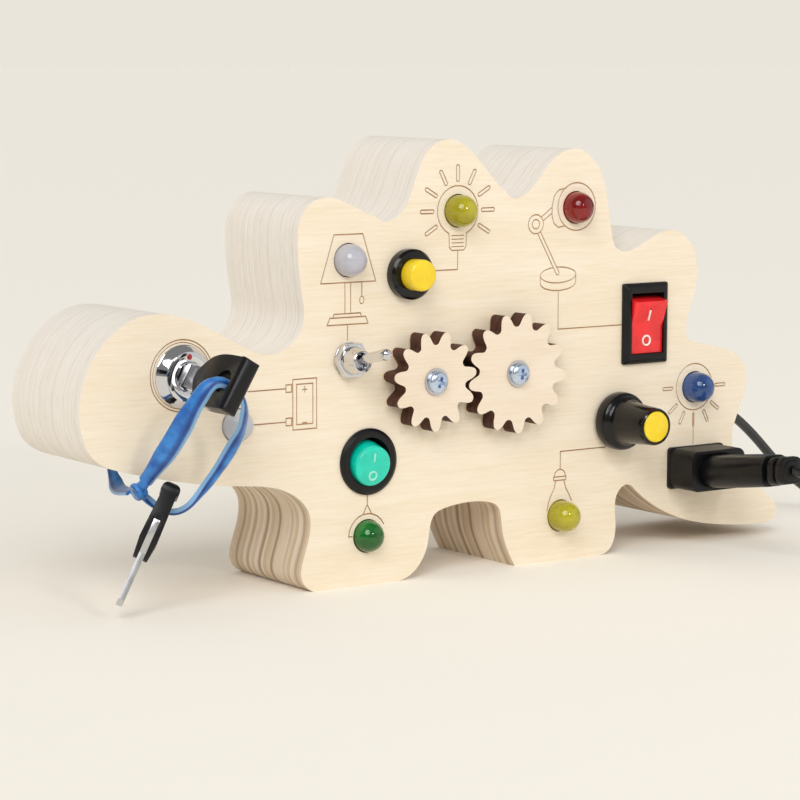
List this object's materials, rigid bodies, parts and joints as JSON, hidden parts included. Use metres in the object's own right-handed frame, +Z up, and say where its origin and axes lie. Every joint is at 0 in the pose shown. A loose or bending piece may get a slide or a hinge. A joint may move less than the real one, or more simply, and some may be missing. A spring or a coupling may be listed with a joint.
{
  "type": "wooden busy board",
  "caption": "Hollow plywood animal-shaped busy board with lamps, toggle, rocker and push switches, a knob, meshed gears, a key switch and a plug on a cord.",
  "frame": {"origin": "bottom centre of the bounding box, measured without the cords and what hangs on them, on the surface the feet stand on", "axes": "+X toward the tail, +Z up, the front panel faces -Y; the board's length is along X"},
  "size_m": [0.2756, 0.1139, 0.1067],
  "materials": {
    "plywood": "sanded birch plywood",
    "gear_wood": "sanded plywood with burnt edges",
    "chrome": "polished",
    "steel": "plated",
    "brass": "plain",
    "black_gloss": "moulded",
    "black_matte": "moulded",
    "yellow": "moulded",
    "red": "moulded",
    "teal": "translucent, moulded",
    "lens_clear": "diffused lens",
    "lens_milky": "diffused lens",
    "lens_olive": "tinted lens",
    "lens_red": "tinted lens",
    "lens_blue": "tinted lens",
    "lens_green": "tinted lens",
    "ribbon": "woven ribbon",
    "cell": "printed sleeve"
  },
  "bodies": {
    "board": {"front_panel": "plywood", "back_panel": "plywood", "battery_cover": "plywood", "frame_layer_1": "plywood", "frame_layer_2": "plywood", "frame_layer_3": "plywood", "frame_layer_4": "plywood", "frame_layer_5": "plywood", "battery_cover_screws": "steel", "battery_box": "black_matte", "batteries": "cell", "battery_contacts": "steel", "lock_housing": "chrome", "lock_nut": "steel", "lock_contact_block": "black_matte", "lanyard_tether": "ribbon", "toggle_bushing": "steel", "toggle_body": "black_matte", "toggle_washer": "steel", "toggle_nut": "steel", "button_housing": "black_gloss", "button_nut": "black_matte", "red_rocker_housing": "black_matte", "round_rocker_housing": "black_matte", "pot_body": "steel", "pot_nut": "steel", "gear_bushes": "brass", "gear_spacers": "steel", "gear_washers": "steel", "gear_screws": "steel", "gear_nuts": "steel", "led_table_lamp": "lens_clear", "led_bulb": "lens_olive", "led_desk_lamp": "lens_red", "led_star": "lens_blue", "led_pendant": "lens_olive", "led_dome": "lens_green", "led_charge": "lens_milky", "socket": "black_matte", "socket_pins": "brass", "power_cord": "black_matte", "cord_grommet": "black_matte"},
    "lock_cylinder": {"lock_cylinder": "chrome"},
    "lanyard": {"lanyard_loop": "ribbon", "lanyard_knot": "ribbon"},
    "key": {"key_blade": "steel", "key_bow": "black_matte"},
    "spare_key": {"spare_key_blade": "steel", "spare_key_bow": "black_matte"},
    "toggle": {"toggle_lever": "chrome"},
    "button": {"button_cap": "yellow"},
    "red_switch": {"red_rocker": "red"},
    "round_switch": {"round_rocker": "teal"},
    "dial": {"knob": "black_gloss", "knob_cap": "yellow", "pot_shaft": "steel"},
    "big_gear": {"large_gear": "gear_wood"},
    "little_gear": {"small_gear": "gear_wood"},
    "plug": {"plug_body": "black_matte", "plug_strain_relief": "black_matte"}
  },
  "joints": [
    {"name": "key_pull", "type": "slide", "parent": "board", "child": "lanyard", "axis": [0, -1, 0], "range_m": [0, 0.012], "deforming": ["lanyard_tether"]},
    {"name": "key_turn", "type": "hinge", "parent": "lanyard", "child": "key", "pos_m": [-0.0784, -0.0062, 0.0541], "axis": [0, 1, 0], "range_deg": [0, 90], "deforming": ["lanyard_loop"]},
    {"name": "lock_turn", "type": "hinge", "parent": "board", "child": "lock_cylinder", "pos_m": [-0.0784, -0.0062, 0.0541], "axis": [0, 1, 0], "range_deg": [0, 90]},
    {"name": "spare_key_swing", "type": "hinge", "parent": "lanyard", "child": "spare_key", "pos_m": [-0.0862, -0.0071, 0.0244], "axis": [0.7481, -0.5201, -0.4121], "range_deg": [-20, 6]},
    {"name": "toggle_flip", "type": "hinge", "parent": "board", "child": "toggle", "pos_m": [-0.0326, -0.0062, 0.055], "axis": [1, 0, 0], "range_deg": [0, 24]},
    {"name": "button_press", "type": "slide", "parent": "board", "child": "button", "axis": [0, 1, 0], "range_m": [0, 0.0025], "stiffness_N_per_m": 400, "springref_m": -0.001},
    {"name": "red_switch_tip", "type": "hinge", "parent": "board", "child": "red_switch", "pos_m": [0.0581, -0.0001, 0.0589], "axis": [-1, 0, 0], "range_deg": [0, 20]},
    {"name": "round_switch_tip", "type": "hinge", "parent": "board", "child": "round_switch", "pos_m": [-0.0271, -0.0001, 0.0301], "axis": [-1, 0, 0], "range_deg": [0, 20]},
    {"name": "dial_turn", "type": "hinge", "parent": "board", "child": "dial", "pos_m": [0.0493, -0.0031, 0.0345], "axis": [0, 1, 0], "range_deg": [0, 300]},
    {"name": "big_gear_spin", "type": "hinge", "parent": "board", "child": "big_gear", "pos_m": [0.0139, -0.006, 0.0492], "axis": [0, 1, 0], "continuous": true},
    {"name": "little_gear_spin", "type": "hinge", "parent": "board", "child": "little_gear", "pos_m": [-0.0108, -0.006, 0.0488], "axis": [0, 1, 0], "continuous": true},
    {"name": "plug_pull", "type": "slide", "parent": "board", "child": "plug", "axis": [0, -1, 0], "range_m": [0, 0.012], "deforming": ["power_cord"]}
  ],
  "couplings": [
    {"joint": "lock_turn", "follows": "key_turn", "ratio": 1},
    {"joint": "little_gear_spin", "follows": "big_gear_spin", "ratio": -1.1818}
  ]
}
